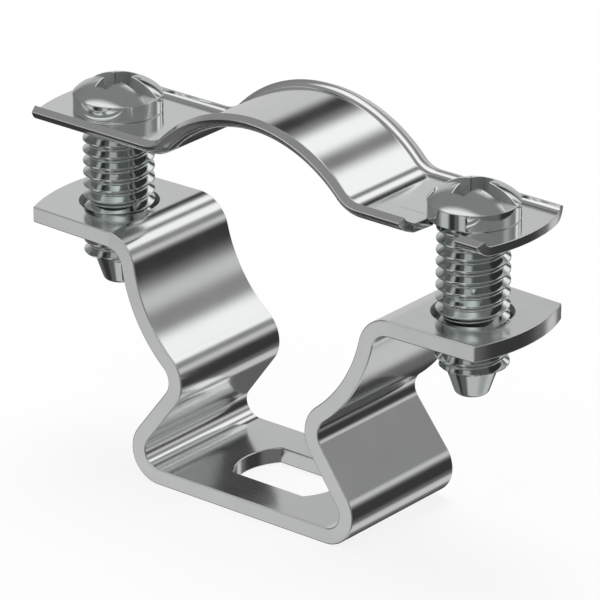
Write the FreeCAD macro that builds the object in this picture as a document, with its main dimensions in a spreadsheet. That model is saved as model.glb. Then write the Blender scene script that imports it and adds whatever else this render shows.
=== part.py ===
import FreeCAD
import Part
import math
import os
import re
import Sketcher
from FreeCAD import Vector

# Conduit strap: a saddle base folded from one steel strip, a lipped top strap and two screws.
# Frame: X runs across the conduit from screw to screw, Y along the conduit, Z up.
# The origin is the middle of the foot's underside. All sizes are in millimetres.

SIZES = {
    # Shared by the base and the strap
    "screw_spacing": 37.2,
    "seat_diameter": 24.1,
    "seat_axis_height": 20.95,
    "screw_to_ear_end": 5.7,
    "end_arc_radius": 14.5,
    "strap_gap": 7.4,
    # Saddle base, a strip that narrows from the foot to the ears
    "base_sheet": 1.4,
    "foot_width": 13.4,
    "shoulder_width": 11.9,
    "base_end_width": 11.4,
    "foot_flat": 17.85,
    "foot_bend_radius": 1.4,
    "leg_angle": 53.1,
    "waist_bend_radius": 1.55,
    "shoulder_bend_radius": 1.6,
    "ear_height": 20.95,
    "fixing_slot_length": 9.65,
    "fixing_slot_width": 6.2,
    "thread_clearance": 0.05,
    "ear_hole_chamfer": 0.35,
    # Top strap, with a turned-up lip along each long edge
    "strap_sheet": 0.8,
    "strap_flat_width": 8.45,
    "strap_bend_radius": 2.75,
    "lip_bend_radius": 0.7,
    "lip_angle": 65.0,
    "lip_straight": 0.15,
    "strap_hole": 6.4,
    "mouth_throat": 4.6,
    "mouth_throat_end": 4.4,
    "mouth_opening": 5.4,
    # Screws
    "thread_diameter": 6.0,
    "thread_length": 12.25,
    "lead_length": 0.9,
    "tip_length": 2.1,
    "tip_root_diameter": 4.1,
    "tip_end_diameter": 2.7,
    "head_diameter": 7.55,
    "head_side": 1.45,
    "dome_height": 1.4,
    "drive_slot_width": 1.4,
    "drive_slot_turn": 9.0,
    "cross_length": 4.4,
    "cross_width": 1.0,
    "cross_depth": 1.6,
}

# How far a cutting shape reaches past the solid that it cuts
OVERCUT = 2.0
# From the middle of the part to either end
HALF_LENGTH = "(screw_spacing / 2 + screw_to_ear_end)"

doc = FreeCAD.newDocument("ConduitStrap")
sheet = doc.addObject("Spreadsheet::Sheet", "Sizes")
for row, (alias, number) in enumerate(SIZES.items(), start=1):
    sheet.set(f"A{row}", alias)
    sheet.set(f"B{row}", str(number))
    sheet.setAlias(f"B{row}", alias)
doc.recompute()


def bound(rule):
    """A rule in plain size names, as an expression on the sheet's cells."""
    return re.sub(r"[a-z]\w*", lambda word: f"Sizes.{word[0]}" if word[0] in SIZES else word[0], rule)


def value(rule):
    """What a rule comes to now, as a number."""
    return float(sheet.evalExpression(bound(rule)))


def new_body(label):
    body = doc.addObject("PartDesign::Body", label)
    body.Label = label
    return body


def origin_plane(body, role):
    return next(item for item in body.Origin.OriginFeatures if item.Role == role)


def new_sketch(body, name, plane, offset="0"):
    """A sketch on one of the body's own origin planes, moved along the plane's normal."""
    sketch = body.newObject("Sketcher::SketchObject", name)
    sketch.AttachmentSupport = (origin_plane(body, plane), [""])
    sketch.MapMode = "FlatFace"
    sketch.setExpression("AttachmentOffset.Base.z", bound(offset))
    return sketch


def tie(sketch, kind, *places, rule):
    """Set one size of a sketch and bind it to the sheet."""
    drawn = math.radians(value(rule)) if kind == "Angle" else value(rule)
    index = sketch.addConstraint(Sketcher.Constraint(kind, *places, drawn))
    unit = " * 1 deg" if kind == "Angle" else ""
    sketch.setExpression(f"Constraints[{index}]", f"({bound(rule)}){unit}")


def link(sketch, kind, *places):
    sketch.addConstraint(Sketcher.Constraint(kind, *places))


def arc_between(start, end, radius, turn):
    """The short arc from start to end: turn is +1 anticlockwise and -1 clockwise."""
    chord = end - start
    rise = math.sqrt(max(radius ** 2 - (chord.Length / 2) ** 2, 0))
    across = Vector(-chord.y, chord.x, 0).normalize() * rise * turn
    centre = (start + end) / 2 + across
    first, last = (start, end) if turn > 0 else (end, start)
    angles = [math.atan2(p.y - centre.y, p.x - centre.x) for p in (first, last)]
    return Part.ArcOfCircle(Part.Circle(centre, Vector(0, 0, 1), radius), *angles)


def outline(sketch, corners):
    """A closed outline. Each corner has its x and y rules and, where the edge that leaves it
    is round, that edge's radius rule and its turn."""
    points = [Vector(value(x), value(y), 0) for x, y, *edge in corners]
    first = len(sketch.Geometry)
    starts = []
    ends = []
    for number, (x, y, *edge) in enumerate(corners):
        here = points[number]
        there = points[(number + 1) % len(points)]
        if edge:
            radius, turn = edge
            sketch.addGeometry(arc_between(here, there, value(radius), turn), False)
            tie(sketch, "Radius", first + number, rule=radius)
        else:
            turn = 1
            sketch.addGeometry(Part.LineSegment(here, there), False)
        starts.append(1 if turn > 0 else 2)
        ends.append(2 if turn > 0 else 1)
    for number, (x, y, *edge) in enumerate(corners):
        before = (number - 1) % len(corners)
        link(sketch, "Coincident", first + before, ends[before], first + number, starts[number])
        tie(sketch, "DistanceX", first + number, starts[number], rule=x)
        tie(sketch, "DistanceY", first + number, starts[number], rule=y)


def ring(sketch, x, y, diameter):
    centre = Vector(value(x), value(y), 0)
    index = sketch.addGeometry(Part.Circle(centre, Vector(0, 0, 1), value(diameter) / 2), False)
    tie(sketch, "Radius", index, rule=f"({diameter}) / 2")
    tie(sketch, "DistanceX", index, 3, rule=x)
    tie(sketch, "DistanceY", index, 3, rule=y)


def level_axis(sketch, height):
    """A construction line along the sketch's x axis, at a height, to revolve about."""
    level = value(height)
    index = sketch.addGeometry(Part.LineSegment(Vector(0, level, 0), Vector(OVERCUT, level, 0)), True)
    link(sketch, "Horizontal", index)
    tie(sketch, "DistanceX", index, 1, rule="0")
    tie(sketch, "DistanceY", index, 1, rule=height)
    tie(sketch, "Distance", index, rule=str(OVERCUT))


def add(body, kind, name, sketch, **settings):
    """A feature that adds material. A text setting is a rule, any other is used as it is."""
    feature = body.newObject(f"PartDesign::{kind}", name)
    feature.Profile = sketch
    for key, setting in settings.items():
        if isinstance(setting, str) and key in ("Length", "Angle"):
            feature.setExpression(key, bound(setting))
        else:
            setattr(feature, key, setting)
    doc.recompute()
    return feature


def cut(body, kind, name, sketch, **settings):
    """A feature that removes material, tested by the solid's volume."""
    before = body.Shape.Volume
    feature = add(body, kind, name, sketch, **settings)
    if not body.Shape.Volume < before:
        raise RuntimeError(f"{name} removes nothing")
    return feature


def cut_through(body, name, sketch):
    return cut(body, "Pocket", name, sketch, Type="ThroughAll", SideType="Symmetric")


def mirror_whole(body, name, plane):
    mirrored = body.newObject("PartDesign::Mirrored", name)
    mirrored.TransformMode = "Whole shape"
    mirrored.MirrorPlane = (origin_plane(body, plane), [""])
    body.Tip = mirrored
    doc.recompute()


# Saddle base. One flat strip is punched, tapered and folded: foot, leg, waist, seat, shoulder
# and ear. A quarter of it is built and mirrored twice.

base = new_body("saddle_base")


def fold_path(sheet_half):
    """The strip's middle line from the foot's centre, as (length) flats and (radius, turn) bends."""
    foot_bend = value("foot_bend_radius") + sheet_half
    waist = value("waist_bend_radius") + sheet_half
    seat = value("seat_diameter / 2") + sheet_half
    shoulder = value("shoulder_bend_radius") + sheet_half
    heading = math.radians(180 - value("leg_angle"))
    along = Vector(math.cos(heading), math.sin(heading), 0)
    right = Vector(along.y, -along.x, 0)
    foot_end = Vector(value("foot_flat / 2"), sheet_half + foot_bend, 0) + right * foot_bend
    axis = Vector(0, value("seat_axis_height"), 0)
    # The leg ends where the waist bend, carried along it, first touches the seat's circle
    gap = foot_end + right * waist - axis
    reach = gap.dot(along)
    leg = -reach - math.sqrt(reach ** 2 - gap.Length ** 2 + (seat + waist) ** 2)
    waist_centre = gap + along * leg
    seat_start = math.atan2(waist_centre.x, -waist_centre.y)
    drop = value("seat_axis_height - ear_height") + sheet_half + shoulder
    seat_end = math.acos(drop / (seat + shoulder))
    shoulder_x = (seat + shoulder) * math.sin(seat_end)
    ear = value(HALF_LENGTH) + OVERCUT - shoulder_x
    return [
        (value("foot_flat / 2"),),
        (foot_bend, heading),
        (leg,),
        (waist, seat_start - heading),
        (seat, seat_end - seat_start),
        (shoulder, -seat_end),
        (ear,),
    ]


def fold_edges(path, start, shift):
    """The path's edges moved sideways to its left by shift, each with its first and last point's number."""
    place = start
    heading = 0.0
    edges = []
    for step in path:
        left = Vector(-math.sin(heading), math.cos(heading), 0)
        if len(step) == 1:
            onward = Vector(math.cos(heading), math.sin(heading), 0) * step[0]
            edges.append((Part.LineSegment(place + left * shift, place + onward + left * shift), 1, 2))
            place = place + onward
            continue
        radius, turn = step
        side = math.copysign(1, turn)
        centre = place + left * radius * side
        circle = Part.Circle(centre, Vector(0, 0, 1), radius - side * shift)
        angles = sorted((heading - side * math.pi / 2, heading + turn - side * math.pi / 2))
        ends = (1, 2) if side > 0 else (2, 1)
        edges.append((Part.ArcOfCircle(circle, *angles), *ends))
        heading += turn
        place = centre - Vector(-math.sin(heading), math.cos(heading), 0) * radius * side
    return edges


profile = new_sketch(base, "StripProfile", "XZ_Plane")
half_sheet = value("base_sheet") / 2
path = fold_path(half_sheet)
middle_start = Vector(0, half_sheet, 0)
faces = {}
for face, shift in (("under", -half_sheet), ("upper", half_sheet)):
    edges = fold_edges(path, middle_start, shift)
    numbers = [profile.addGeometry(shape, False) for shape, start, end in edges]
    faces[face] = [(number, start, end) for number, (shape, start, end) in zip(numbers, edges)]
    for (one, start, end), (two, next_start, next_end) in zip(faces[face], faces[face][1:]):
        link(profile, "Tangent", one, end, two, next_start)
for end, (under, upper) in (("middle", (0, 0)), ("ear", (-1, -1))):
    point = 1 if end == "middle" else 2
    low = faces["under"][under][0]
    high = faces["upper"][upper][0]
    line = Part.LineSegment(profile.getPoint(low, point), profile.getPoint(high, point))
    closing = profile.addGeometry(line, False)
    link(profile, "Coincident", closing, 1, low, point)
    link(profile, "Coincident", closing, 2, high, point)
    link(profile, "Vertical", closing)
    link(profile, "Horizontal", low)
    link(profile, "Horizontal", high)
    if end == "middle":
        link(profile, "Coincident", closing, 1, -1, 1)
        tie(profile, "Distance", closing, rule="base_sheet")
under_foot, under_foot_bend, under_leg, under_waist, under_seat, under_shoulder, under_ear = [
    number for number, start, end in faces["under"]
]
upper_foot, upper_foot_bend, upper_leg, upper_waist, upper_seat, upper_shoulder, upper_ear = [
    number for number, start, end in faces["upper"]
]
for inner, outer in (
    (under_foot_bend, upper_foot_bend),
    (under_waist, upper_waist),
    (under_seat, upper_seat),
    (under_shoulder, upper_shoulder),
):
    link(profile, "Coincident", inner, 3, outer, 3)
link(profile, "Parallel", under_leg, upper_leg)
link(profile, "PointOnObject", upper_seat, 3, -2)
tie(profile, "Distance", under_foot, rule="foot_flat / 2")
tie(profile, "Angle", under_leg, rule="180 - leg_angle")
tie(profile, "Radius", upper_foot_bend, rule="foot_bend_radius")
tie(profile, "Radius", under_waist, rule="waist_bend_radius")
tie(profile, "Radius", upper_seat, rule="seat_diameter / 2")
tie(profile, "Radius", under_shoulder, rule="shoulder_bend_radius")
tie(profile, "DistanceY", upper_seat, 3, rule="seat_axis_height")
tie(profile, "DistanceY", upper_ear, 1, rule="ear_height")
tie(profile, "DistanceX", under_ear, 2, rule=f"{HALF_LENGTH} + {OVERCUT}")
add(base, "Pad", "FoldedStrip", profile, Length="foot_width / 2", Reversed=True)

# The strip's edge runs in from the foot's width to the shoulder's, and on along the ear
narrowing = new_sketch(base, "LegTaper", "YZ_Plane")
outline(narrowing, [
    ("foot_width / 2", "base_sheet"),
    (f"foot_width / 2 + {OVERCUT}", "base_sheet"),
    (f"foot_width / 2 + {OVERCUT}", f"ear_height + {OVERCUT}"),
    ("shoulder_width / 2", f"ear_height + {OVERCUT}"),
    ("shoulder_width / 2", "ear_height"),
])
cut_through(base, "TaperedLegs", narrowing)

END_ARC_CENTRE = f"({HALF_LENGTH} - end_arc_radius)"
BASE_CORNER = f"{END_ARC_CENTRE} + sqrt(end_arc_radius ^ 2 - (base_end_width / 2) ^ 2)"
SHOULDER_REACH = "(seat_diameter / 2 + base_sheet + shoulder_bend_radius)"
SHOULDER_DROP = "(seat_axis_height - ear_height + base_sheet + shoulder_bend_radius)"
ear_plan = new_sketch(base, "EarPlan", "XY_Plane")
outline(ear_plan, [
    (f"sqrt({SHOULDER_REACH} ^ 2 - {SHOULDER_DROP} ^ 2)", "shoulder_width / 2"),
    (BASE_CORNER, "base_end_width / 2", "end_arc_radius", -1),
    (HALF_LENGTH, "0"),
    (f"{HALF_LENGTH} + 2 * {OVERCUT}", "0"),
    (f"{HALF_LENGTH} + 2 * {OVERCUT}", "foot_width"),
    (f"sqrt({SHOULDER_REACH} ^ 2 - {SHOULDER_DROP} ^ 2)", "foot_width"),
])
cut_through(base, "RoundedEarEnd", ear_plan)

# The ear's tapped hole, with a countersink each side. Its thread is too fine to cut here.
HOLE_WALL = "screw_spacing / 2 + thread_diameter / 2 + thread_clearance"
COUNTERSINK = f"{HOLE_WALL} + ear_hole_chamfer + {OVERCUT}"
ear_hole = new_sketch(base, "EarHole", "XZ_Plane")
outline(ear_hole, [
    ("screw_spacing / 2", f"ear_height + {OVERCUT}"),
    ("screw_spacing / 2", f"ear_height - base_sheet - {OVERCUT}"),
    (COUNTERSINK, f"ear_height - base_sheet - {OVERCUT}"),
    (HOLE_WALL, "ear_height - base_sheet + ear_hole_chamfer"),
    (HOLE_WALL, "ear_height - ear_hole_chamfer"),
    (COUNTERSINK, f"ear_height + {OVERCUT}"),
])
cut(base, "Groove", "CountersunkEarHole", ear_hole, Angle="360", ReferenceAxis=(ear_hole, ["Edge1"]))

# The fixing hole in the foot is a round hole with two flats, long across the conduit
SLOT_FLAT = "sqrt((fixing_slot_length / 2) ^ 2 - (fixing_slot_width / 2) ^ 2)"
fixing_slot = new_sketch(base, "FixingSlot", "XY_Plane")
outline(fixing_slot, [
    (f"-{SLOT_FLAT}", "-fixing_slot_width / 2"),
    (SLOT_FLAT, "-fixing_slot_width / 2", "fixing_slot_length / 2", 1),
    (SLOT_FLAT, "fixing_slot_width / 2"),
    (f"-{SLOT_FLAT}", "fixing_slot_width / 2", "fixing_slot_length / 2", 1),
])
cut(base, "Pocket", "PunchedFixingSlot", fixing_slot, Length="base_sheet + foot_bend_radius", Reversed=True)
mirror_whole(base, "FarHalf", "XZ_Plane")
mirror_whole(base, "LeftHalf", "YZ_Plane")

# Top strap. Its ears' underside is its own zero level, and its arch is round the conduit's
# axis when the strap sits at its gap. A quarter of it is built and mirrored twice.

strap = new_body("top_strap")
ARCH_DROP = "(ear_height + strap_gap - seat_axis_height)"
BEND_REACH = "(seat_diameter / 2 + strap_sheet + strap_bend_radius)"
BEND_RISE = "(strap_sheet + strap_bend_radius)"
ARCH_HALF_ANGLE = f"acos(({ARCH_DROP} + {BEND_RISE}) / {BEND_REACH})"
EAR_START = f"sqrt({BEND_REACH} ^ 2 - ({ARCH_DROP} + {BEND_RISE}) ^ 2)"
LIP_OUTER = "(lip_bend_radius + strap_sheet)"


def lipped_section(sketch, level):
    """Half of the strap's section: the flat web, the bend and the turned-up lip."""
    web = "strap_flat_width / 2"
    under_y = f"{web} + {LIP_OUTER} * sin(lip_angle)"
    under_z = f"{level} + {LIP_OUTER} * (1 - cos(lip_angle))"
    upper_y = f"{web} + lip_bend_radius * sin(lip_angle)"
    upper_z = f"{level} + {LIP_OUTER} - lip_bend_radius * cos(lip_angle)"
    outline(sketch, [
        ("0", level),
        (web, level, LIP_OUTER, 1),
        (under_y, under_z),
        (f"{under_y} + lip_straight * cos(lip_angle)", f"{under_z} + lip_straight * sin(lip_angle)"),
        (f"{upper_y} + lip_straight * cos(lip_angle)", f"{upper_z} + lip_straight * sin(lip_angle)"),
        (upper_y, upper_z, "lip_bend_radius", -1),
        (web, f"{level} + strap_sheet"),
        ("0", f"{level} + strap_sheet"),
    ])


crown = new_sketch(strap, "CrownSection", "YZ_Plane")
lipped_section(crown, f"seat_diameter / 2 - {ARCH_DROP}")
level_axis(crown, f"-{ARCH_DROP}")
add(strap, "Revolution", "Arch", crown, Angle=ARCH_HALF_ANGLE, ReferenceAxis=(crown, ["Axis0"]))

ear_section = new_sketch(strap, "EarSection", "YZ_Plane", EAR_START)
lipped_section(ear_section, "0")
add(strap, "Pad", "Ear", ear_section, Length=f"{HALF_LENGTH} + {OVERCUT} - {EAR_START}")
bend_section = new_sketch(strap, "BendSection", "YZ_Plane", EAR_START)
lipped_section(bend_section, "0")
level_axis(bend_section, BEND_RISE)
bend_axis = (bend_section, ["Axis0"])
add(strap, "Revolution", "EarBend", bend_section, Angle=ARCH_HALF_ANGLE, ReferenceAxis=bend_axis)

STRAP_EDGE = f"(strap_flat_width / 2 + {LIP_OUTER} + {OVERCUT})"
strap_plan = new_sketch(strap, "StrapPlan", "XY_Plane")
outline(strap_plan, [
    (f"{END_ARC_CENTRE} + sqrt(end_arc_radius ^ 2 - {STRAP_EDGE} ^ 2)", STRAP_EDGE, "end_arc_radius", -1),
    (HALF_LENGTH, "0"),
    (f"{HALF_LENGTH} + 2 * {OVERCUT}", "0"),
    (f"{HALF_LENGTH} + 2 * {OVERCUT}", STRAP_EDGE),
])
cut_through(strap, "RoundedStrapEnd", strap_plan)
mirror_whole(strap, "FarHalf", "XZ_Plane")
mirror_whole(strap, "LeftHalf", "YZ_Plane")

strap_holes = new_sketch(strap, "StrapHoles", "XY_Plane")
ring(strap_holes, "-screw_spacing / 2", "0", "strap_hole")
ring(strap_holes, "screw_spacing / 2", "0", "strap_hole")
cut_through(strap, "PunchedHoles", strap_holes)


def swing(radius, depth):
    """Where the circle that the strap swings on, about the left screw, passes a given depth."""
    return f"sqrt(({radius}) ^ 2 - ({depth}) ^ 2) - screw_spacing / 2"


# The right hole opens to the near edge, so that the strap can swing away round the left screw
THROAT_IN = "screw_spacing - mouth_throat / 2"
THROAT_OUT = "screw_spacing + mouth_throat / 2"
OPENING_IN = "screw_spacing - mouth_opening / 2"
OPENING_OUT = "screw_spacing + mouth_opening / 2"
FLARE_END = "mouth_throat_end + (mouth_opening - mouth_throat) / 2"
mouth = new_sketch(strap, "Mouth", "XY_Plane")
outline(mouth, [
    (swing(THROAT_IN, "0"), "0", THROAT_IN, -1),
    (swing(THROAT_IN, "mouth_throat_end"), "-mouth_throat_end"),
    (swing(OPENING_IN, FLARE_END), f"-({FLARE_END})", OPENING_IN, -1),
    (swing(OPENING_IN, STRAP_EDGE), f"-{STRAP_EDGE}"),
    (swing(OPENING_OUT, STRAP_EDGE), f"-{STRAP_EDGE}", OPENING_OUT, 1),
    (swing(OPENING_OUT, FLARE_END), f"-({FLARE_END})"),
    (swing(THROAT_OUT, "mouth_throat_end"), "-mouth_throat_end", THROAT_OUT, 1),
    (swing(THROAT_OUT, "0"), "0"),
])
cut_through(strap, "OpenMouth", mouth)

# Screws. The underside of the head is each screw's own zero level. Their thread is too fine
# to cut here.

screws = []
THREAD_END = "(thread_length + lead_length)"
DOME_RADIUS = "((head_diameter / 2) ^ 2 + dome_height ^ 2) / (2 * dome_height)"
for side, label in ((-1, "left_screw"), (1, "right_screw")):
    screw = new_body(label)
    turned = new_sketch(screw, f"{label}_turned", "XZ_Plane")
    outline(turned, [
        ("0", f"-({THREAD_END} + tip_length)"),
        ("tip_end_diameter / 2", f"-({THREAD_END} + tip_length)"),
        ("tip_root_diameter / 2", f"-{THREAD_END}"),
        ("thread_diameter / 2", "-thread_length"),
        ("thread_diameter / 2", "0"),
        ("head_diameter / 2", "0"),
        ("head_diameter / 2", "head_side", DOME_RADIUS, 1),
        ("0", "head_side + dome_height"),
    ])
    add(screw, "Revolution", f"{label}_blank", turned, Angle="360", ReferenceAxis=(turned, ["V_Axis"]))
    drive_slot = new_sketch(screw, f"{label}_slot", "XY_Plane", "head_side")
    outline(drive_slot, [
        ("-head_diameter", "-drive_slot_width / 2"),
        ("head_diameter", "-drive_slot_width / 2"),
        ("head_diameter", "drive_slot_width / 2"),
        ("-head_diameter", "drive_slot_width / 2"),
    ])
    cut(screw, "Pocket", f"{label}_slotted", drive_slot, Length="2 * dome_height", Reversed=True)
    cross = new_sketch(screw, f"{label}_cross", "XY_Plane", "head_side - cross_depth")
    outline(cross, [
        ("-cross_length / 2", "-cross_width / 2"),
        ("-cross_width / 2", "-cross_width / 2"),
        ("-cross_width / 2", "-cross_length / 2"),
        ("cross_width / 2", "-cross_length / 2"),
        ("cross_width / 2", "-cross_width / 2"),
        ("cross_length / 2", "-cross_width / 2"),
        ("cross_length / 2", "cross_width / 2"),
        ("cross_width / 2", "cross_width / 2"),
        ("cross_width / 2", "cross_length / 2"),
        ("-cross_width / 2", "cross_length / 2"),
        ("-cross_width / 2", "cross_width / 2"),
        ("-cross_length / 2", "cross_width / 2"),
    ])
    cut(screw, "Pocket", f"{label}_recessed", cross, Length="cross_depth + 2 * dome_height", Reversed=True)
    screw.setExpression("Placement.Base.x", bound(f"{side} * screw_spacing / 2"))
    screw.setExpression("Placement.Base.z", bound("ear_height + strap_gap + strap_sheet"))
    screw.setExpression("Placement.Rotation.Angle", bound("drive_slot_turn"))
    screws.append(screw)
strap.setExpression("Placement.Base.z", bound("ear_height + strap_gap"))

doc.recompute()
bodies = [base, strap, *screws]
for item in doc.Objects:
    if "Invalid" in item.State or "Error" in item.State:
        raise RuntimeError(f"{item.Label} is {item.State}")
os.makedirs("parts", exist_ok=True)
for body in bodies:
    if body.Shape.isNull() or not body.Shape.isValid() or len(body.Shape.Solids) != 1:
        raise RuntimeError(f"{body.Label} is not one valid solid")
    print(body.Label, round(body.Shape.Volume, 1), body.Shape.BoundBox)
    body.Shape.exportStep(f"parts/{body.Label}.step")
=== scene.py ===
import math

import bpy
import numpy as np
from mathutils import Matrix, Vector


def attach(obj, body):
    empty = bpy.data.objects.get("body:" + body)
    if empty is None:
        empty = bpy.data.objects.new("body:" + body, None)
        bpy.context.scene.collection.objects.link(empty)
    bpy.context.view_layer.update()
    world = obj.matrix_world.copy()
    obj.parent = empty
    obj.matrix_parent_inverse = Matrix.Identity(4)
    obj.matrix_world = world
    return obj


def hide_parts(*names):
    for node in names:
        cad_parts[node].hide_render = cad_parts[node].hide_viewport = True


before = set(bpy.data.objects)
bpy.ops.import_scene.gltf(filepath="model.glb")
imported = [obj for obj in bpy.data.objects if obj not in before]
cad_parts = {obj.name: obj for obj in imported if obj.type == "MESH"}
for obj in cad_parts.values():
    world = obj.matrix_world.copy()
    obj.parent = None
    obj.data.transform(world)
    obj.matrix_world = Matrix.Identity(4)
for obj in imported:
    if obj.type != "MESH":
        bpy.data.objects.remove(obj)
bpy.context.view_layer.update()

# Camera. A long lens looks down on the strap from its right front, as the
# photograph does. Its place was fitted to the edges of the base and the strap.
view_azimuth, view_elevation = math.radians(39.26), math.radians(23.07)
view_target = Vector((0.000871, 0.0, 0.017088))
view_distance = 0.4379
toward_camera = Vector((math.sin(view_azimuth) * math.cos(view_elevation),
                        -math.cos(view_azimuth) * math.cos(view_elevation),
                        math.sin(view_elevation)))
lens = bpy.data.cameras.new("long_lens")
lens.sensor_width = 36.0
lens.lens = 321.8
camera = bpy.data.objects.new("camera", lens)
camera.location = view_target + view_distance * toward_camera
camera.rotation_euler = (-toward_camera).to_track_quat("-Z", "Y").to_euler()
bpy.context.collection.objects.link(camera)
bpy.context.scene.camera = camera
bpy.context.scene.view_settings.view_transform = "Standard"

# Studio. The strap stands in a tent of grey cloth on a plain pale floor. Soft boxes
# and pale cards hang in rows along the conduit's line, with dark cards between them,
# so that bright metal shows bands of light and dark.
light, pale, grey, dark = 0.92, 0.72, 0.46, 0.20
cloth_above, cloth_below, card_edge, card_end = 0.50, 0.36, 6.0, 0.12
# Each card has the turn of its middle about the conduit's line in degrees, 0 straight up
# and 90 at +X, half its width, its near and far ends from -1 to 1, and its grey.
tent_cards = (
    ("near soft box", 0, 48, -0.80, -0.25, light),
    ("low near card", -125, 10, -1.00, -0.55, pale),
    ("left wall", -85, 45, 0.45, 1.00, pale),
    ("far soft box", 10, 32, 0.50, 1.00, light),
    ("gap in the far soft box", 8, 8, 0.40, 1.00, grey),
    ("dark card beside it", -40, 9, 0.45, 1.00, dark),
    ("right bar", 70, 8, 0.40, 1.00, pale),
    ("dark right wall", 108, 22, 0.20, 1.00, dark),
    ("low right card", 162, 16, -1.00, 1.00, pale),
    ("low left card", -145, 12, -1.00, 1.00, dark))
metal_share, cloth_fade, floor_grey = 0.82, 0.5, 0.86


def put(tree, kind, inputs=None, **settings):
    """One node in a shader: its settings, then its inputs by name or number, each a value or
    another node's output to link."""
    node = tree.nodes.new(kind)
    for name, value in settings.items():
        setattr(node, name, value)
    for key, value in (inputs or {}).items():
        if isinstance(value, bpy.types.NodeSocket):
            tree.links.new(value, node.inputs[key])
        else:
            node.inputs[key].default_value = value
    return node


def cloth_colour(grey):
    """A screen grey g as light: ((g + 0.055) / 1.055) ** 2.4, over the share that metal gives back."""
    shade = ((grey + 0.055) / 1.055) ** 2.4 / metal_share
    return (shade, shade, shade, 1.0)


def hang(tree, behind, turn, along, card):
    """A soft-edged card before what hangs behind it. It covers by the product of two smooth steps,
    one by the turn's distance from the card's middle, the other by the place's distance from it
    along the conduit."""
    name, middle, half, near, far, tone = card
    away = put(tree, "ShaderNodeMath", {0: turn, 1: middle}, operation="SUBTRACT")
    away = put(tree, "ShaderNodeMath", {0: away.outputs[0], 1: 180.0, 2: -180.0}, operation="WRAP")
    away = put(tree, "ShaderNodeMath", {0: away.outputs[0]}, operation="ABSOLUTE")
    across = put(tree, "ShaderNodeMapRange", {
        "Value": away.outputs[0], "From Min": half + card_edge, "From Max": half - card_edge},
        interpolation_type="SMOOTHSTEP")
    off = put(tree, "ShaderNodeMath", {0: along, 1: (near + far) / 2}, operation="SUBTRACT")
    off = put(tree, "ShaderNodeMath", {0: off.outputs[0]}, operation="ABSOLUTE")
    reach = (far - near) / 2
    length = put(tree, "ShaderNodeMapRange", {
        "Value": off.outputs[0], "From Min": reach + card_end, "From Max": reach - card_end},
        interpolation_type="SMOOTHSTEP")
    cover = put(tree, "ShaderNodeMath", {0: across.outputs[0], 1: length.outputs[0]},
                operation="MULTIPLY").outputs[0]
    return put(tree, "ShaderNodeMix", {"Factor": cover, 6: behind, 7: cloth_colour(tone)},
               data_type="RGBA", label=name).outputs[2]


world = bpy.data.worlds.new("studio")
world.use_nodes = True
bpy.context.scene.world = world
tent = world.node_tree
tent.nodes.clear()
way = put(tent, "ShaderNodeSeparateXYZ", {0: put(tent, "ShaderNodeTexCoord").outputs["Generated"]})
turn = put(tent, "ShaderNodeMath", {0: way.outputs["X"], 1: way.outputs["Z"]}, operation="ARCTAN2")
turn = put(tent, "ShaderNodeMath", {0: turn.outputs[0]}, operation="DEGREES").outputs[0]
height = put(tent, "ShaderNodeMapRange", {"Value": way.outputs["Z"], "From Min": -cloth_fade,
                                          "From Max": cloth_fade}).outputs[0]
walls = put(tent, "ShaderNodeMix", {"Factor": height, 6: cloth_colour(cloth_below),
                                    7: cloth_colour(cloth_above)}, data_type="RGBA").outputs[2]
for card in tent_cards:
    walls = hang(tent, walls, turn, way.outputs["Y"], card)
seen = put(tent, "ShaderNodeLightPath").outputs["Is Camera Ray"]
cloth = put(tent, "ShaderNodeBackground", {"Color": walls})
white = put(tent, "ShaderNodeBackground", {"Color": (1, 1, 1, 1)})
both = put(tent, "ShaderNodeMixShader", {0: seen, 1: cloth.outputs[0], 2: white.outputs[0]})
put(tent, "ShaderNodeOutputWorld", {"Surface": both.outputs[0]})

lamp = bpy.data.lights.new("soft_box", "AREA")
lamp.shape = "DISK"
lamp.size = 0.35
lamp.energy = 2.0
soft_box = bpy.data.objects.new("soft_box", lamp)
soft_box.location = Vector((-0.10, 0.12, 0.50))
soft_box.rotation_euler = (-soft_box.location).to_track_quat("-Z", "Y").to_euler()
soft_box.visible_glossy = False
bpy.context.collection.objects.link(soft_box)

floor_mesh = bpy.data.meshes.new("floor")
floor_mesh.from_pydata([(-3, -3, 0), (3, -3, 0), (3, 3, 0), (-3, 3, 0)], [], [(0, 1, 2, 3)])
floor = bpy.data.objects.new("floor", floor_mesh)
floor.visible_glossy = False
bpy.context.collection.objects.link(floor)
floor_paint = bpy.data.materials.new("pale_floor")
floor_paint.use_nodes = True
paint = floor_paint.node_tree
paint.nodes.clear()
matt = put(paint, "ShaderNodeBsdfDiffuse", {"Color": (floor_grey, floor_grey, floor_grey, 1)})
glow = put(paint, "ShaderNodeEmission", {"Color": (1, 1, 1, 1), "Strength": 1.0})
seen = put(paint, "ShaderNodeLightPath").outputs["Is Camera Ray"]
share = put(paint, "ShaderNodeMath", {0: seen, 1: floor_grey}, operation="MULTIPLY")
both = put(paint, "ShaderNodeMixShader", {0: share.outputs[0], 1: matt.outputs[0], 2: glow.outputs[0]})
put(paint, "ShaderNodeOutputMaterial", {"Surface": both.outputs[0]})
floor_mesh.materials.append(floor_paint)

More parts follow.
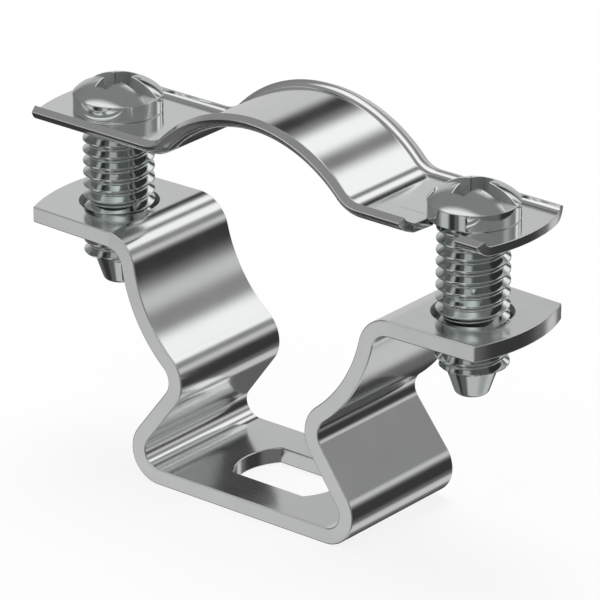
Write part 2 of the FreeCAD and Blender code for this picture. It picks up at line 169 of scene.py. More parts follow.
# Saddle base. One strip of steel, 1.4 mm thick, punched and folded into a foot,
# two legs, two waists, two seats and two ears, then plated bright. Its sheared edges
# are broken. The sizes are in millimetres, and the last step makes them metres.
strip_half, strip_edge = 0.70, 0.10
foot_half, foot_bend, leg_turn, waist_bend = 8.925, 2.10, math.radians(126.9), 2.25
seat_radius, seat_height, shoulder_bend, ear_top = 12.75, 20.95, 2.30, 20.95
part_half, end_arc, screw_reach = 24.30, 14.50, 18.60
tapped_hole, countersink = 3.05, 0.35
fixing_round, fixing_flat = 4.825, 3.10
foot_side, ear_side, corner_side, above_legs, hair = 6.70, 5.95, 5.70, 15.0, 1e-6
# The second colour is painted shade: a dark grey put on the tapped holes' walls and countersinks.
base_colour, hole_painted_shade_colour = (0.87, 0.88, 0.88), (0.30, 0.31, 0.31)
plate_drift, plate_tone, plate_rough = 260.0, (0.97, 1.02), (0.85, 1.15)
rim_angles = np.radians([0.0, 22.5, 45.0, 67.5, 90.0])
rim_rows, fan_rows = len(rim_angles) - 1, 6


def middle_line(start, steps, cells):
    """The middle line of a folded strip, from end to end, as places (x, z) and headings. From the
    strip's middle a flat of one length runs on along its heading. A bend of radius r and turn a
    goes round a centre at r to its left or right, so its place is centre - r * (-sin, cos) of
    the heading. The other half is the mirror image."""
    place, heading = np.array([0.0, start]), 0.0
    places, headings = [place[None]], [np.zeros(1)]
    for step, count in zip(steps, cells):
        share = np.arange(1, count + 1) / count
        if len(step) == 1:
            onward = np.array([math.cos(heading), math.sin(heading)])
            places.append(place + np.outer(share * step[0], onward))
            headings.append(np.full(count, heading))
        else:
            side = math.copysign(step[0], step[1])
            turned = heading + share * step[1]
            centre = place + side * np.array([-math.sin(heading), math.cos(heading)])
            places.append(centre - side * np.stack([-np.sin(turned), np.cos(turned)], axis=1))
            headings.append(turned)
        place, heading = places[-1][-1], headings[-1][-1]
    half, turned = np.concatenate(places), np.concatenate(headings)
    return (np.concatenate([half[:0:-1] * (-1.0, 1.0), half]), np.concatenate([-turned[:0:-1], turned]))


def section(upper, upper_out, lower, lower_out, tip, edge):
    """Once round a sheet's section, as a core line (y, h) and the way out from it. The surface is
    core + edge * way out, so each corner of the cut edge is a quarter circle: the way out turns
    from one side's to the edge's and on to the other side's. upper and lower run from the middle to
    the cut edge. The far half is their mirror image."""
    quarter = rim_angles[1:-1, None]
    first = np.cos(quarter) * upper_out[-1] + np.sin(quarter) * tip
    second = np.sin(quarter) * tip + np.cos(quarter) * lower_out[-1]
    one, two = upper[-1] - edge * upper_out[-1], lower[-1] - edge * lower_out[-1]
    core = np.concatenate([upper - edge * upper_out, np.tile(one, (rim_rows, 1)),
                           np.tile(two, (rim_rows, 1)), (lower - edge * lower_out)[::-1]])
    out = np.concatenate([upper_out, first, [tip], [tip], second[::-1], lower_out[::-1]])
    core = np.concatenate([core, core[-2:0:-1] * (-1.0, 1.0)])
    out = np.concatenate([out, out[-2:0:-1] * (-1.0, 1.0)])
    back = len(upper) - 1
    core, out = np.roll(core, back, axis=0), np.roll(out, back, axis=0)
    return np.concatenate([core, core[:1]]), np.concatenate([out, out[:1]])


def strip_points(line, headings, core, out, edge, ear_rows, wide):
    """The strip's surface as rows of section points, each with its way out. A row's point is its
    place + h * (-sin, cos) of its heading, at y across, with the core's y scaled by wide. Along an
    ear the rows spread to the rounded end, x = centre + sqrt(arc^2 - y^2), and end in a quarter
    circle of the edge's radius."""
    def row(place, heading, stretch=None, lift=0.0):
        near = math.sqrt(1.0 - lift * lift)
        h = core[:, 1] + edge * near * out[:, 1]
        x, z = place[0] - h * math.sin(heading), place[1] + h * math.cos(heading)
        side = math.copysign(1.0, place[0])
        end_x, end_y = np.ones(len(h)), np.zeros(len(h))
        if stretch is not None:
            start, share = stretch
            x = np.full(len(h), start + share * (part_half - start))
        for _ in range(4):
            across = core[:, 0] * wide(np.abs(x), z)
            if stretch is not None:
                end = part_half - end_arc + np.sqrt(end_arc ** 2 - across ** 2) - edge
                x = start + share * (end - start) + edge * lift
                end_x, end_y = np.sqrt(1.0 - (across / end_arc) ** 2), across / end_arc
        reach = np.max(core[:, 0])
        fall_x = reach * (wide(np.abs(x), z) - wide(np.abs(x) + 0.01, z)) / 0.01 * side
        fall_z = reach * (wide(np.abs(x), z) - wide(np.abs(x), z + 0.01)) / 0.01
        slant = np.abs(out[:, 0]) * near
        way = np.stack([-out[:, 1] * math.sin(heading) * near + lift * end_x + fall_x * slant,
                        out[:, 0] * near + lift * end_y,
                        out[:, 1] * math.cos(heading) * near + fall_z * slant], axis=1)
        return np.stack([x, across + edge * near * out[:, 0], z], axis=1), way

    inner = slice(ear_rows, len(line) - ear_rows)
    start = line[-ear_rows - 1, 0]
    ear = [row(line[-1], 0.0, (start, k / ear_rows)) for k in range(1, ear_rows + 1)]
    ear += [row(line[-1], 0.0, (start, 1.0), math.sin(a)) for a in rim_angles[1:]]
    left = [(points * (-1.0, 1.0, 1.0), way * (-1.0, 1.0, 1.0)) for points, way in ear[::-1]]
    rows = left + [row(p, t) for p, t in zip(line[inner], headings[inner])] + ear
    return np.stack([points for points, way in rows]), np.stack([way for points, way in rows])


def between(first, last, count, way):
    """A block of even steps from one line of points to another, all with one way out."""
    share = (np.arange(count + 1) / count)[:, None, None]
    block = first[None] * (1.0 - share) + last[None] * share
    return block, np.broadcast_to(np.asarray(way, dtype=float), block.shape)


def round_block(block):
    """Once round the outside of a block of points, back to where it began."""
    return np.concatenate([block[:-1, 0], block[-1, :-1], block[:0:-1, -1], block[0, ::-1]])


def punched(above, below, place, away, bands):
    """A hole through a flat. Each point of the line above, and of the line below, is joined straight
    to the hole's wall at place. A band runs down the wall by (growth, height, tilt): its ring is
    place + growth * away, and its way out is cos(tilt) up less sin(tilt) away."""
    blocks, rings = [], []
    for band in bands:
        points, ways = [], []
        for growth, height, tilt in band:
            points.append(np.column_stack([place + growth * away, np.full(len(place), height)]))
            ways.append(np.column_stack([-math.sin(tilt) * away, np.full(len(place), math.cos(tilt))]))
        blocks.append((np.stack(points), np.stack(ways)))
        rings += [points[0], points[-1]]
    blocks.append(between(above, rings[0], fan_rows, (0.0, 0.0, 1.0)))
    blocks.append(between(below, rings[-1], fan_rows, (0.0, 0.0, -1.0)))
    return blocks


def rounded_rims(top, bottom, edge):
    """One band down a punched hole whose two rims are quarter circles of radius edge."""
    down = [(edge * (1.0 - math.sin(b)), top - edge * (1.0 - math.cos(b)), b) for b in rim_angles]
    return [down + [(growth, bottom + top - height, math.pi - b) for growth, height, b in down[::-1]]]


def surface(name, patches):
    """One closed mesh from blocks of points and their ways out. Points that fall together are made
    one, squares with a side of no length become triangles, each face is turned to look the way
    out, and the ways out are kept as the shading normals, so flats shade flat and bends round."""
    points = np.concatenate([block.reshape(-1, 3) for block, way in patches])
    ways = np.concatenate([way.reshape(-1, 3) for block, way in patches])
    squares, first = [], 0
    for block, way in patches:
        rows, columns = block.shape[:2]
        index = first + np.arange(rows * columns).reshape(rows, columns)
        square = [index[:-1, :-1], index[1:, :-1], index[1:, 1:], index[:-1, 1:]]
        squares.append(np.stack(square, axis=-1).reshape(-1, 4))
        first += rows * columns
    squares = np.concatenate(squares)
    spots, keep, same = np.unique(np.round(points * 1e4 + 0.137).astype(np.int64), axis=0,
                                  return_index=True, return_inverse=True)
    same = same.reshape(-1)
    corners = points[squares]
    facing = np.cross(corners[:, 2] - corners[:, 0], corners[:, 3] - corners[:, 1])
    wrong = np.einsum("ij,ij->i", facing, ways[squares].mean(axis=1)) < 0.0
    squares[wrong] = squares[wrong, ::-1]
    joined = same[squares] == np.roll(same[squares], -1, axis=1)
    whole, pinched = squares[joined.sum(axis=1) == 0], squares[joined.sum(axis=1) == 1]
    turn = (np.argmax(joined[joined.sum(axis=1) == 1], axis=1)[:, None] + (1, 2, 3)) % 4
    pinched = np.take_along_axis(pinched, turn, axis=1)
    mesh = bpy.data.meshes.new(name)
    mesh.from_pydata((points[keep] * 0.001).tolist(), [], same[whole].tolist() + same[pinched].tolist())
    mesh.shade_smooth()
    corner_ways = np.concatenate([ways[whole].reshape(-1, 3), ways[pinched].reshape(-1, 3)])
    corner_ways /= np.linalg.norm(corner_ways, axis=1)[:, None]
    mesh.normals_split_custom_set(corner_ways.tolist())
    piece = bpy.data.objects.new(name, mesh)
    bpy.context.collection.objects.link(piece)
    return piece


def centres(mesh):
    """The middle of each face, in millimetres."""
    spot = np.empty(3 * len(mesh.polygons))
    mesh.polygons.foreach_get("center", spot)
    return spot.reshape(-1, 3) * 1000.0


def plated(name, colour, roughness, grain, grain_depth, metal=1.0):
    """Bright plate over metal: the colour drifts a little over a few millimetres, the roughness drifts
    with it, and fine drawn lines stretched by grain lie in the surface. The same nodes make the darker
    finishes that paint shade in the tapped holes and in the screws' slots and recesses."""
    material = bpy.data.materials.new(name)
    material.use_nodes = True
    tree = material.node_tree
    tree.nodes.clear()
    where = put(tree, "ShaderNodeTexCoord").outputs["Object"]
    drift = put(tree, "ShaderNodeTexNoise", {"Vector": where, "Scale": plate_drift, "Detail": 3.0})
    low, high = (tuple(min(1, share * c) for c in colour) + (1,) for share in plate_tone)
    tone = put(tree, "ShaderNodeMix", {"Factor": drift.outputs[0], 6: low, 7: high}, data_type="RGBA")
    lines = put(tree, "ShaderNodeMapping", {"Vector": where, "Scale": grain})
    lines = put(tree, "ShaderNodeTexNoise", {"Vector": lines.outputs[0], "Scale": 1.0, "Detail": 4.0})
    rough = put(tree, "ShaderNodeMapRange", {
        "Value": drift.outputs[0], "From Min": 0.3, "From Max": 0.7,
        "To Min": roughness * plate_rough[0], "To Max": roughness * plate_rough[1]})
    bump = put(tree, "ShaderNodeBump", {"Height": lines.outputs[0], "Strength": 1.0,
                                        "Distance": grain_depth})
    shader = put(tree, "ShaderNodeBsdfPrincipled", {
        "Base Color": tone.outputs[2], "Metallic": metal, "Roughness": rough.outputs[0],
        "Normal": bump.outputs[0]})
    put(tree, "ShaderNodeOutputMaterial", {"Surface": shader.outputs[0]})
    return material


along = np.array([math.cos(leg_turn), math.sin(leg_turn)])
right = np.array([along[1], -along[0]])
gap = np.array([foot_half, strip_half + foot_bend]) + right * (foot_bend + waist_bend)
gap = gap - (0.0, seat_height)
leg = -gap @ along - math.sqrt((gap @ along) ** 2 - gap @ gap + (seat_radius + waist_bend) ** 2)
waist = gap + along * leg
seat_start = math.atan2(waist[0], -waist[1])
seat_end = math.acos((strip_half + shoulder_bend) / (seat_radius + shoulder_bend))
shoulder = (seat_radius + shoulder_bend) * math.sin(seat_end)
foot_rows, bend_rows, leg_rows, waist_rows, seat_rows, shoulder_rows = 14, 22, 6, 20, 48, 20
ear_rows, base_columns = 18, 13
line, headings = middle_line(strip_half, (
    (foot_half,), (foot_bend, leg_turn), (leg,), (waist_bend, seat_start - leg_turn),
    (seat_radius, seat_end - seat_start), (shoulder_bend, -seat_end), (part_half - shoulder,)),
    (foot_rows, bend_rows, leg_rows, waist_rows, seat_rows, shoulder_rows, ear_rows))


def base_width(x, z):
    """The strip's half width over the foot's: it runs in straight with height from foot_side to
    ear_side at the ear, and straight with length to corner_side at the ear's corner. The row where
    the ear starts counts as the ear's by a hair, whatever its last digit."""
    corner = part_half - end_arc + math.sqrt(end_arc ** 2 - corner_side ** 2)
    risen = np.clip((z - 2 * strip_half) / (ear_top - 2 * strip_half), 0.0, 1.0)
    gone = np.clip((x - shoulder) / (corner - shoulder), 0.0, 1.0)
    rising = foot_side - (foot_side - ear_side) * risen
    along_ear = ear_side - (ear_side - corner_side) * gone
    half = np.where((x > shoulder - hair) & (z > above_legs), along_ear, rising)
    return (half - strip_edge) / (foot_side - strip_edge)


across = np.linspace(0.0, foot_side - strip_edge, base_columns)
upper = np.stack([across, np.full(base_columns, strip_half)], axis=1)
up = np.tile([0.0, 1.0], (base_columns, 1))
core, out = section(upper, up, upper * (1.0, -1.0), -up, np.array([1.0, 0.0]), strip_edge)
strip, strip_ways = strip_points(line, headings, core, out, strip_edge, ear_rows, base_width)


def round_wall(loop, x, radius):
    """The hole's wall at each point's own angle, and the way from the hole into the metal."""
    angle = np.arctan2(loop[:, 1], loop[:, 0] - x)
    away = np.stack([np.cos(angle), np.sin(angle)], axis=1)
    return loop, (x, 0.0) + radius * away, away


def flat_sided_wall(loop):
    """A circle cut by two flats, at each point's own angle: its distance is the less of the circle's
    and flat / |sin|. The nearest points are moved to the four corners, and each stands there twice,
    once with the circle's way and once with the flat's."""
    corner = math.asin(fixing_flat / fixing_round)
    angle = np.arctan2(loop[:, 1], loop[:, 0])
    places = (corner, math.pi - corner, corner - math.pi, -corner)
    twice = np.array([np.argmin(np.abs(angle[:-1] - place)) for place in places])
    angle[twice] = places
    angle[-1] = angle[0]
    away = np.stack([np.cos(angle), np.sin(angle)], axis=1)
    distance = np.minimum(fixing_round, fixing_flat / np.maximum(np.abs(away[:, 1]), 1e-6))
    place = away * distance[:, None]
    on_flat = np.abs(away[:, 1]) > math.sin(corner) + 1e-9
    away[on_flat] = np.stack([np.zeros(on_flat.sum()), np.sign(away[on_flat, 1])], axis=1)
    before = on_flat[(twice - 1) % (len(angle) - 1)]
    flat_way = np.stack([np.zeros(4), np.sign(place[twice, 1])], axis=1)
    spot = np.where(before, twice, twice + 1)
    return (np.insert(loop, spot, loop[twice], axis=0), np.insert(place, spot, place[twice], axis=0),
            np.insert(away, spot, flat_way, axis=0))


def hole_in(block_above, block_below, wall, bands):
    """The blocks of one closed hole, inside the outline of the flats above and below."""
    above, place, away = wall(round_block(block_above))
    below = wall(round_block(block_below))[0]
    return punched(above, below, place, away, bands)


def with_holes(points, ways, lip, columns, windows):
    """The strip's blocks: whole rows between the windows, and beside each window only the edges'
    columns, with the flat there given over to its hole. lip is the number of columns from the cut
    edge to the flat."""
    total = points.shape[1] - 1
    span = columns + 2 * lip
    under = total - (total - 2 * span) // 2 - span
    wrap = np.concatenate([points, points[:, 1:]], axis=1), np.concatenate([ways, ways[:, 1:]], axis=1)
    above, below = slice(lip, lip + columns + 1), slice(under + lip, under + lip + columns + 1)
    far_edge = slice(lip + columns, under + lip + 1)
    near_edge = slice(under + lip + columns, total + lip + 1)
    blocks, last = [], 0
    for first, end, fill in windows:
        blocks.append((points[last:first + 1], ways[last:first + 1]))
        rows = slice(first, end + 1)
        blocks.append((points[rows, far_edge], ways[rows, far_edge]))
        near = wrap[0][rows, near_edge], wrap[1][rows, near_edge]
        blocks += fill(points[rows, above], points[rows, below][:, ::-1], near)
        last = end
    blocks.append((points[last:], ways[last:]))
    for end in (0, -1):
        top, low = points[end, :span + 1], points[end, under:under + span + 1][::-1]
        blocks.append(between(top, low, 1, ways[end, :span + 1]))
    return blocks


ear_under, sunk = ear_top - 2 * strip_half, math.pi / 4
tapped = [[(countersink, ear_top, sunk), (0.0, ear_top - countersink, sunk)],
          [(0.0, ear_top - countersink, 2 * sunk), (0.0, ear_under + countersink, 2 * sunk)],
          [(0.0, ear_under + countersink, 3 * sunk), (countersink, ear_under, 3 * sunk)]]


def whole_window(wall, bands):
    """A window that one closed hole fills, with the near edge kept beside it."""
    return lambda above, below, near: [near] + hole_in(above, below, wall, bands)


left_hole = whole_window(lambda loop: round_wall(loop, -screw_reach, tapped_hole), tapped)
right_hole = whole_window(lambda loop: round_wall(loop, screw_reach, tapped_hole), tapped)
foot_hole = whole_window(flat_sided_wall, rounded_rims(2 * strip_half, 0.0, strip_edge))
middle, ear_end = len(strip) // 2, len(strip) - 1 - rim_rows
base_strip = surface("base_strip", with_holes(strip, strip_ways, 0, 2 * base_columns - 2, (
    (rim_rows, rim_rows + ear_rows, left_hole),
    (middle - foot_rows, middle + foot_rows, foot_hole),
    (ear_end - ear_rows, ear_end, right_hole))))
# The second finish is painted shade, dark grey on the tapped holes' walls and countersinks, set on the
# faces found below.
for finish in (plated("plated_base_strip", base_colour, 0.15, (150, 9000, 150), 1.0e-7),
               plated("tapped_wall_painted_shade", hole_painted_shade_colour, 0.35, (4000, 4000, 9000), 1.0e-6)):
    base_strip.data.materials.append(finish)
spot = centres(base_strip.data)
cut = np.hypot(np.abs(spot[:, 0]) - screw_reach, spot[:, 1]) < tapped_hole + countersink - 0.02
base_strip.data.polygons.foreach_set("material_index", cut.astype(np.int32))
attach(base_strip, "base")
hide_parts("saddle_base")

# Top strap. A thinner strip of the same plated steel, 0.8 mm, with its long edges
# turned up as lips. It is arched over the conduit and bent back flat at both ends,
# where a punched hole and an open slot take the screws.
sheet_half, sheet_edge = 0.40, 0.07
flat_half, lip_bend, lip_turn, lip_straight = 4.225, 0.70, math.radians(65.0), 0.15
arch_radius, arch_top, back_bend, strap_top = 12.45, 33.40, 3.15, 29.15
strap_hole, throat_half, opening_half, throat_end = 3.20, 2.30, 2.70, 4.40
strap_colour = (0.88, 0.89, 0.89)

half_turn = math.acos((strap_top - sheet_half - seat_height + back_bend) / (arch_radius + back_bend))
ear_start = (arch_radius + back_bend) * math.sin(half_turn)
arch_rows, back_rows, strap_ear_rows, web_columns, lip_columns = 44, 22, 22, 12, 10
strap_line, strap_headings = middle_line(
    arch_top, ((arch_radius, -half_turn), (back_bend, half_turn), (part_half - ear_start,)),
    (arch_rows, back_rows, strap_ear_rows))
lip_way = np.array([math.cos(lip_turn), math.sin(lip_turn)])


def lip_side(level, radius, side):
    """One side of half the strap's section: the flat web, then the lip's bend about (flat_half, level
    of its centre) as centre + radius * (sin, -cos) of the turn, then the lip's short straight to
    its cut edge."""
    web = np.stack([np.linspace(0.0, flat_half, web_columns), np.full(web_columns, level)], axis=1)
    turn = lip_turn * np.arange(1, lip_columns) / (lip_columns - 1)
    centre = np.array([flat_half, sheet_half + lip_bend])
    bend = centre + radius * np.stack([np.sin(turn), -np.cos(turn)], axis=1)
    end = bend[-1] + (lip_straight - sheet_edge) * lip_way
    bend_out = -side * np.stack([np.sin(turn), -np.cos(turn)], axis=1)
    out = np.concatenate([np.tile([0.0, float(side)], (web_columns, 1)), bend_out, bend_out[-1:]])
    return np.concatenate([web, bend, [end]]), out


strap_core, strap_out = section(*lip_side(sheet_half, lip_bend, 1),
                                *lip_side(-sheet_half, lip_bend + 2 * sheet_half, -1),
                                lip_way, sheet_edge)
sheet, sheet_ways = strip_points(strap_line, strap_headings, strap_core, strap_out,
                                 sheet_edge, strap_ear_rows, lambda x, z: np.ones_like(x + z))
strap_rims = rounded_rims(strap_top, strap_top - 2 * sheet_half, sheet_edge)


def mouth_wall(y, side):
    """x of the mouth's wall: an arc about the left screw's axis, at the screws' spacing less or
    plus half the mouth's width, which grows from the throat's to the opening's at 45 degrees."""
    half = np.clip(throat_half + np.abs(y) - throat_end, throat_half, opening_half)
    return -screw_reach + np.sqrt((2 * screw_reach + side * half) ** 2 - y ** 2)


def open_mouth(above, below, near):
    """The right screw's hole and the mouth that opens it to the near edge. The flat's outline runs
    from the near fold up the ear, across and back, and is joined to the mouth's inner wall, the
    hole and the outer wall. The near lip is left in two stubs, each closed by a cut face with
    rounded rims."""
    def outline(block):
        return np.concatenate([block[0, :-1], block[:-1, -1], block[-1, ::-1]])

    loop = outline(above)
    join = -math.sqrt(strap_hole ** 2 - throat_half ** 2)
    first = int(np.argmin(np.abs(above[0, :, 1] - join)))
    count = len(loop) - 2 * first
    low = math.atan2(-join, throat_half)
    angle = np.linspace(math.pi + low, -low, count)
    away = np.stack([np.cos(angle), np.sin(angle)], axis=1)
    circle = (screw_reach, 0.0) + strap_hole * away
    wall_y = np.append(above[0, :first, 1], join)
    inner = np.stack([mouth_wall(wall_y, -1), wall_y], axis=1)
    outer = np.stack([mouth_wall(wall_y, 1), wall_y], axis=1)[::-1]
    circle[0], circle[-1] = inner[-1], outer[0]
    place = np.concatenate([inner, circle, outer])
    wall_away = np.tile([-1.0, 0.0], (first + 1, 1))
    away = np.concatenate([wall_away, away, -wall_away])
    twice = [first, len(loop) - 1 - first]
    spots = [twice[0], twice[1] + 1]
    lines = [np.insert(line, spots, line[twice], axis=0) for line in (loop, outline(below))]
    blocks = punched(lines[0], lines[1], place, away, strap_rims)
    points, ways = near
    near_core = points[0] - sheet_edge * ways[0]
    for side, row in ((-1, 0), (1, -1)):
        wall_x = mouth_wall(near_core[:, 1], side)
        core = np.column_stack([wall_x + side * sheet_edge, near_core[:, 1:]])
        face = np.array([-side, 0.0, 0.0])
        outs = [math.cos(bend) * ways[0] + math.sin(bend) * face for bend in rim_angles]
        rows = [core + sheet_edge * out for out in outs]
        blocks.append((np.stack(rows), np.stack(outs)))
        blocks.append(between(points[row], rows[0], fan_rows, ways[0]))
        half = len(wall_x) // 2
        blocks.append(between(rows[-1][:half], rows[-1][::-1][:half], 1, (-side, 0.0, 0.0)))
    return blocks


round_window = whole_window(lambda loop: round_wall(loop, -screw_reach, strap_hole), strap_rims)
sheet_end = len(sheet) - 1 - rim_rows
strap_strip = surface("strap_strip", with_holes(sheet, sheet_ways, lip_columns, 2 * web_columns - 2, (
    (rim_rows, rim_rows + strap_ear_rows, round_window),
    (sheet_end - strap_ear_rows, sheet_end, open_mouth))))
strap_plate = plated("plated_strap_strip", strap_colour, 0.12, (150, 9000, 150), 1.0e-7)
strap_strip.data.materials.append(strap_plate)
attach(strap_strip, "strap")
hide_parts("top_strap")

# Screws. Two M6 machine screws with low domed heads, slotted and cross recessed,
# cold-headed and thread-rolled from wire, then plated. Each hangs by its head.
screw_places = {"left": -screw_reach, "right": screw_reach}
thread_start = {"left": 0.06, "right": 0.72}
pitch, crest_radius, crest_flat, crest_round = 1.0, 3.00, 0.045, 0.035
root_radius, root_round, flank = 2.387, 0.144, 3.0 ** 0.5
thread_top, lead_start, lead_end, tip_end = 29.35, 16.6, 16.15, 13.9
lead_radius, tip_radius, tip_round = 2.12, 1.35, 0.30
head_radius, head_under, rim_round, rim_height, under_round = 3.775, 29.15, 0.12, 30.51, 0.10
dome_radius, dome_rise, dome_base, dome_bow, dome_fall = 3.80, 1.50, 30.52, 2.2, 0.9
slot_turn, slot_half, rim_angle = math.radians(1.0), 0.70, math.radians(55.0)
slot_floor = rim_height + rim_round * math.sin(rim_angle)
wing_root, wing_tip, wing_reach, recess_floor, recess_taper = 0.84, 0.57, 2.17, 29.60, 0.88
rib_depth, rib_half, recess_lean, cut_edge = 0.22, 0.09, 0.12, 0.045
tick_reach, tick_half, tick_depth, tick_end = 2.30, 0.08, 0.07, 0.5
turn_steps, slot_cells, mouth_cells, dome_rows, dome_spread = 96, 16, 8, 12, 0.8
cut_least, under_clear = 0.03, 0.2
# The first colour is the plate's grey-green tone, made darker than the strips' to paint the shade
# between the thread's turns.
# The second colour is painted shade, a darker grey for the slot and the cross recess.
screw_tone_and_shade, recess_painted_shade_colour = (0.73, 0.77, 0.755), (0.47, 0.49, 0.48)


def shank(x, start):
    """A thread on a grid of turn and height. z = first + pitch * (turn + count + offset), so each column
    follows the helix. By its offset from the crest the radius is a small flat, a straight flank of 60
    degrees, and an arc of root_round at the root: centre - sqrt(root_round^2 - d^2). The lead's cone
    and the tip's cone cut it off, and rows past an end fall on it. The way out is (1, the slope over
    2 pi r, minus the slope) along the radius, the turn and the axis."""
    half = np.array([0.0, 0.045, 0.062, 0.08, 0.14, 0.21, 0.28, 0.34, 0.375, 0.41, 0.44, 0.47, 0.5])
    offset = np.concatenate([half, 1.0 - half[-2:0:-1]])
    from_crest, from_root = np.minimum(offset, 1.0 - offset), np.abs(offset - 0.5)
    deep = root_round * math.sin(math.radians(60.0))
    bent = np.clip(from_crest - crest_flat, 0.0, crest_round)
    straight = np.maximum(from_crest - crest_flat - crest_round, 0.0)
    groove = crest_radius - flank * (bent ** 2 / (2 * crest_round) + straight)
    slope = -flank * bent / crest_round
    arc = np.sqrt(root_round ** 2 - np.minimum(from_root, deep) ** 2)
    groove = np.where(from_root < deep, root_radius + root_round - arc, groove)
    slope = np.where(from_root < deep, -from_root / arc, slope) * np.where(offset < 0.5, 1.0, -1.0)
    first = tip_end - 2.0 + start
    turns = int(math.ceil(thread_top - first)) + 1
    turn, row = np.meshgrid(np.arange(turn_steps + 1) / turn_steps, np.arange(turns * len(offset)),
                            indexing="ij")
    z = first + pitch * (turn + row // len(offset) + offset[row % len(offset)])
    z = np.clip(z, tip_end, thread_top)

    def cone(z):
        straight = np.interp(z, [tip_end, lead_end, lead_start, lead_start + 1e-3],
                             [tip_radius, lead_radius, crest_radius, 3 * crest_radius])
        rise = np.clip((z - tip_end) / tip_round, 0.0, 1.0)
        return straight - tip_round * (1.0 - np.sqrt(1.0 - (1.0 - rise) ** 2))

    groove, slope = groove[row % len(offset)], slope[row % len(offset)]
    cut = cone(z) < groove
    radius = np.where(z >= thread_top, root_radius, np.where(cut, cone(z), groove))
    ahead, back = 0.002, 0.002 * (z > tip_end)
    fall = np.where(cut, (cone(z + ahead) - cone(z - back)) / (ahead + back), slope)
    angle = 2.0 * np.pi * turn
    side = np.where(cut, 0.0, fall / (2.0 * np.pi * radius))
    points = np.stack([x + radius * np.cos(angle), radius * np.sin(angle), z], axis=-1)
    ways = np.stack([np.cos(angle) - side * np.sin(angle),
                     np.sin(angle) + side * np.cos(angle), -fall], axis=-1)
    bottom, top = points[:, 0], points[:, -1]
    return [(points, ways), between(bottom, bottom * (0, 0, 1) + (x, 0, 0), 1, (0, 0, -1)),
            between(top, top * (0, 0, 1) + (x, 0, 0), 1, (0, 0, 1))]


def dome(points):
    """Height and way out of the head's dome at points (x, y): base + rise * (1 - (r / R)^bow)^fall,
    less a thin V along each of the recess's four ribs out to tick_reach, by the distance from the
    rib's line."""
    r = np.linalg.norm(points, axis=-1)
    share = 1.0 - (r / dome_radius) ** dome_bow
    slope = -dome_bow * dome_fall * dome_rise / dome_radius * (r / dome_radius) ** (dome_bow - 1.0)
    slope = slope * share ** (dome_fall - 1.0)
    rib_side = np.array([-slot_half, wing_root]) / math.hypot(slot_half, wing_root)
    tick = np.clip(1.0 - np.abs(np.abs(points) @ rib_side) / tick_half, 0.0, 1.0)
    tick = tick * np.clip((tick_reach - r) / tick_end, 0.0, 1.0)
    flat_way = -slope[..., None] * points / np.maximum(r, 1e-6)[..., None]
    way = np.concatenate([flat_way, np.ones(r.shape + (1,))], axis=-1)
    return dome_base + dome_rise * share ** dome_fall - tick_depth * tick, way


def sides(corners, cells):
    """A path through corners, each side with its own end points: places, the way from the cut into the
    metal on the path's right, and the mitre of two sides' ways, (a + b) / (1 + a.b), at each corner."""
    places, aways, mitres = [], [], []
    run = np.diff(corners, axis=0)
    away = np.stack([run[:, 1], -run[:, 0]], axis=1) / np.linalg.norm(run, axis=1)[:, None]
    both = (away[1:] + away[:-1]) / (1.0 + np.sum(away[1:] * away[:-1], axis=1))[:, None]
    ends = np.concatenate([away[:1], both, away[-1:]])
    for n, count in enumerate(cells):
        places.append(corners[n] + np.linspace(0.0, 1.0, count + 1)[:, None] * run[n])
        aways.append(np.tile(away[n], (count + 1, 1)))
        inside = np.tile(away[n], (count - 1, 1))
        mitres.append(np.concatenate([ends[n:n + 1], inside, ends[n + 1:n + 2]]))
    return np.concatenate(places), np.concatenate(aways), np.concatenate(mitres)


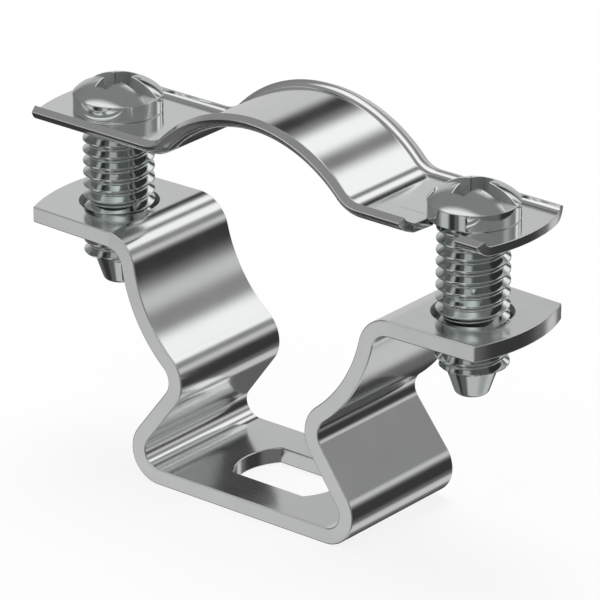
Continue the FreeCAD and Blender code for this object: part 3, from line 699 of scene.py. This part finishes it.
def head(x):
    """Half of the head as blocks, then the same half turned round by 180 degrees. The dome runs from
    the cut's path out to the rim along rays. The cut's walls go down to the slot's floor, and in
    the cross recess, whose outline shrinks by recess_taper, on to its floor. A profile turned
    about the axis gives the rest."""
    rim = head_radius - rim_round * (1.0 - math.cos(rim_angle))
    mouth = math.sqrt(rim ** 2 - slot_half ** 2)
    long_side = math.hypot(wing_root, slot_half)
    rib = np.array([wing_root, slot_half]) * (1.0 + rib_depth / long_side)
    lip = wing_root + rib_half
    taper = (wing_root - wing_tip) / (wing_reach - slot_half)
    corners = np.array([[mouth, slot_half], [lip, slot_half], rib,
                        [wing_root - taper * rib_half, slot_half + rib_half], [wing_tip, wing_reach]])
    corners = np.concatenate([corners, corners[::-1] * (-1.0, 1.0)])
    path, away, mitre = sides(corners, (slot_cells, 3, 3, 8, 6, 8, 3, 3, slot_cells))
    inner = path + cut_edge * mitre
    inner[0] = (math.sqrt(rim ** 2 - inner[0, 1] ** 2), inner[0, 1])
    inner[-1] = inner[0] * (-1.0, 1.0)
    ray = np.arctan2(inner[:, 1], inner[:, 0])
    outer = rim * np.stack([np.cos(ray), np.sin(ray)], axis=1)
    share = (np.arange(dome_rows + 1) / dome_rows)[:, None, None] ** dome_spread
    plan = inner * (1.0 - share) + outer * share
    height, ways = dome(plan)
    height = np.maximum(height, slot_floor)
    height[-1], height[:, 0], height[:, -1] = slot_floor, slot_floor, slot_floor
    blocks = [(np.concatenate([plan, height[..., None]], axis=-1), ways)]
    brink = np.maximum(dome(path)[0] - cut_edge, slot_floor)
    top = np.column_stack([path, brink])
    low = np.column_stack([path, np.full(len(path), slot_floor)])
    broken = np.column_stack([-away, np.ones(len(away))])
    wall = np.column_stack([-away, np.zeros(len(away))])
    blocks.append((np.stack([blocks[0][0][0], top]), np.stack([broken, broken])))
    blocks.append((np.stack([top, low]), np.stack([wall, wall])))
    deep, deep_wall = (line[slot_cells + 1:-slot_cells - 1] for line in (low, wall))
    foot = deep * (recess_taper, recess_taper, 0.0) + (0.0, 0.0, recess_floor)
    blocks.append((np.stack([deep, foot]), np.stack([deep_wall, deep_wall]) + (0.0, 0.0, recess_lean)))
    wing = np.array([[lip, -slot_half], [wing_reach, -wing_tip],
                     [wing_reach, wing_tip], [lip, slot_half]])
    well, well_away, _ = sides(wing, (slot_cells, mouth_cells, slot_cells))
    mouth_turn = math.asin(slot_half / rim)
    arc = np.linspace(-mouth_turn, mouth_turn, mouth_cells + 1)
    arc = rim * np.stack([np.cos(arc), np.sin(arc)], axis=1)
    bank = np.concatenate([path[slot_cells::-1] * (1.0, -1.0), arc, path[:slot_cells + 1]])
    level = np.full(len(bank), slot_floor)
    well_wall = np.column_stack([-well_away, np.full(len(well), recess_lean)])
    well_foot = np.column_stack([recess_taper * well, np.full(len(well), recess_floor)])
    well = np.column_stack([well, level])
    blocks.append(between(well, np.column_stack([bank, level]), 4, (0.0, 0.0, 1.0)))
    blocks.append((np.stack([well, well_foot]), np.stack([well_wall, well_wall])))
    for line in (foot, well_foot):
        blocks.append(between(line, line * (0.0, 0.0, 1.0), 1, (0.0, 0.0, 1.0)))
    profile = [(head_radius - rim_round + rim_round * math.cos(b),
                 rim_height + rim_round * math.sin(b), b)
               for b in (rim_angle, *np.radians([38.0, 20.0, 0.0]))]
    profile += [(head_radius - under_round + under_round * math.cos(b),
                 head_under + under_round + under_round * math.sin(b), b)
                for b in np.radians([0.0, -30.0, -60.0, -90.0])]
    profile.append((0.0, head_under, -math.pi / 2))
    ring = np.concatenate([np.arctan2(arc[:, 1], arc[:, 0]), ray, [math.pi - mouth_turn]])
    round_ring, flat = np.column_stack([np.cos(ring), np.sin(ring)]), np.ones(len(ring))
    spun = [np.column_stack([r * round_ring, z * flat]) for r, z, b in profile]
    outs = [np.column_stack([math.cos(b) * round_ring, math.sin(b) * flat]) for r, z, b in profile]
    blocks.append((np.stack(spun), np.stack(outs)))
    cos, sin = math.cos(slot_turn), math.sin(slot_turn)
    turn = np.array([[cos, sin, 0.0], [-sin, cos, 0.0], [0.0, 0.0, 1.0]])
    half = [(points @ turn, ways @ turn) for points, ways in blocks]
    other = [(points * (-1.0, -1.0, 1.0), ways * (-1.0, -1.0, 1.0)) for points, ways in half]
    return [(points + (x, 0.0, 0.0), ways) for points, ways in half + other]


def inside_cut(mesh, x):
    """True for each face of a head that lies in the slot or the recess, the faces that take the painted
    shade: its centre is within the rim, above the head's underside and more than cut_least below the
    dome."""
    centre = centres(mesh) - (x, 0.0, 0.0)
    within = np.linalg.norm(centre[:, :2], axis=1) < head_radius - rim_round
    depth = np.where(within, dome(centre[:, :2] * within[:, None])[0] - centre[:, 2], 0.0)
    return (depth > cut_least) & (centre[:, 2] > head_under + under_clear)


# The screws' finish is partly painted shade: its colour is darkened for the shade between the thread's
# turns.
screw_plate_and_shade = plated("plated_screw_wire_and_shade", screw_tone_and_shade, 0.06, (1500, 1500, 1500), 1.0e-7)
# The slot and the cross recess get a darker, duller finish: painted shade in the head's hollows.
painted_shade_recess = plated("painted_shade_recess", recess_painted_shade_colour, 0.55, (4000, 4000, 4000), 1.5e-6, 0.4)
for side, x in screw_places.items():
    for piece in (surface(side + "_screw_head", head(x)),
                  surface(side + "_screw_shank", shank(x, thread_start[side]))):
        piece.data.materials.append(screw_plate_and_shade)
        if piece.name.endswith("head"):
            piece.data.materials.append(painted_shade_recess)
            cut = inside_cut(piece.data, x).astype(np.int32)
            piece.data.polygons.foreach_set("material_index", cut)
        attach(piece, "screw_" + side)
        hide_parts(side + "_screw")
